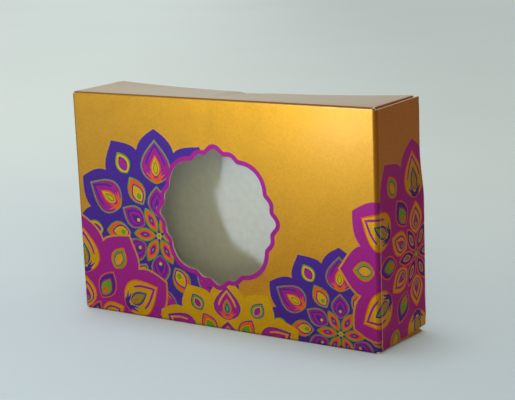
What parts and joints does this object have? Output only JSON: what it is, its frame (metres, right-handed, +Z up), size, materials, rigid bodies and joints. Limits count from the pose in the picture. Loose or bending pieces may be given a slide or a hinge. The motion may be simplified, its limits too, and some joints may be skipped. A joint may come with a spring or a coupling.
{
  "type": "window gift carton",
  "caption": "Flat gold folding carton for loose sweets, with a scalloped film window, end closures that tuck in behind the back, and dust flaps.",
  "frame": {"origin": "centre of the carton's footprint, on the surface that it stands on", "axes": "+X along the carton to its right end as seen from the front, -Y out of the front panel with the window, +Z up"},
  "size_m": [0.198, 0.046, 0.125],
  "materials": {
    "gold_board": "metallised gold boxboard, satin, printed in bright inks outside and pale uncoated inside",
    "clear_film": "clear glossy film"
  },
  "bodies": {
    "tube": {"front_panel": "gold_board", "top_panel": "gold_board", "back_panel": "gold_board", "bottom_panel": "gold_board", "glue_flap": "gold_board", "window_film": "clear_film"},
    "right_closure": {"right_closure_panel": "gold_board"},
    "right_tuck": {"right_tuck_flap": "gold_board"},
    "right_top_dust": {"right_top_dust_flap": "gold_board"},
    "right_bottom_dust": {"right_bottom_dust_flap": "gold_board"},
    "left_closure": {"left_closure_panel": "gold_board"},
    "left_tuck": {"left_tuck_flap": "gold_board"},
    "left_top_dust": {"left_top_dust_flap": "gold_board"},
    "left_bottom_dust": {"left_bottom_dust_flap": "gold_board"}
  },
  "joints": [
    {"name": "right_closure_crease", "type": "hinge", "parent": "tube", "child": "right_closure", "pos_m": [0.09515, -0.02265, 0.0625], "axis": [0, 0, -1], "range_deg": [0, 180]},
    {"name": "left_closure_crease", "type": "hinge", "parent": "tube", "child": "left_closure", "pos_m": [-0.09515, -0.02265, 0.0625], "axis": [0, 0, 1], "range_deg": [0, 180]},
    {"name": "right_tuck_crease", "type": "hinge", "parent": "right_closure", "child": "right_tuck", "pos_m": [0.09723, 0.02158, 0.06445], "axis": [-0.0199, 0, 0.9998], "range_deg": [0, 50], "stiffness_Nm_per_rad": 0.0005},
    {"name": "left_tuck_crease", "type": "hinge", "parent": "left_closure", "child": "left_tuck", "pos_m": [-0.09723, 0.02158, 0.06445], "axis": [-0.0199, 0, -0.9998], "range_deg": [0, 50], "stiffness_Nm_per_rad": 0.0005},
    {"name": "right_top_dust_crease", "type": "hinge", "parent": "tube", "child": "right_top_dust", "pos_m": [0.09408, 0, 0.12433], "axis": [0, 1, 0], "range_deg": [0, 80], "stiffness_Nm_per_rad": 0.002},
    {"name": "right_bottom_dust_crease", "type": "hinge", "parent": "tube", "child": "right_bottom_dust", "pos_m": [0.09408, 0, 0.00067], "axis": [0, -1, 0], "range_deg": [0, 80], "stiffness_Nm_per_rad": 0.002},
    {"name": "left_top_dust_crease", "type": "hinge", "parent": "tube", "child": "left_top_dust", "pos_m": [-0.09408, 0, 0.12433], "axis": [0, -1, 0], "range_deg": [0, 80], "stiffness_Nm_per_rad": 0.002},
    {"name": "left_bottom_dust_crease", "type": "hinge", "parent": "tube", "child": "left_bottom_dust", "pos_m": [-0.09408, 0, 0.00067], "axis": [0, 1, 0], "range_deg": [0, 80], "stiffness_Nm_per_rad": 0.002}
  ]
}
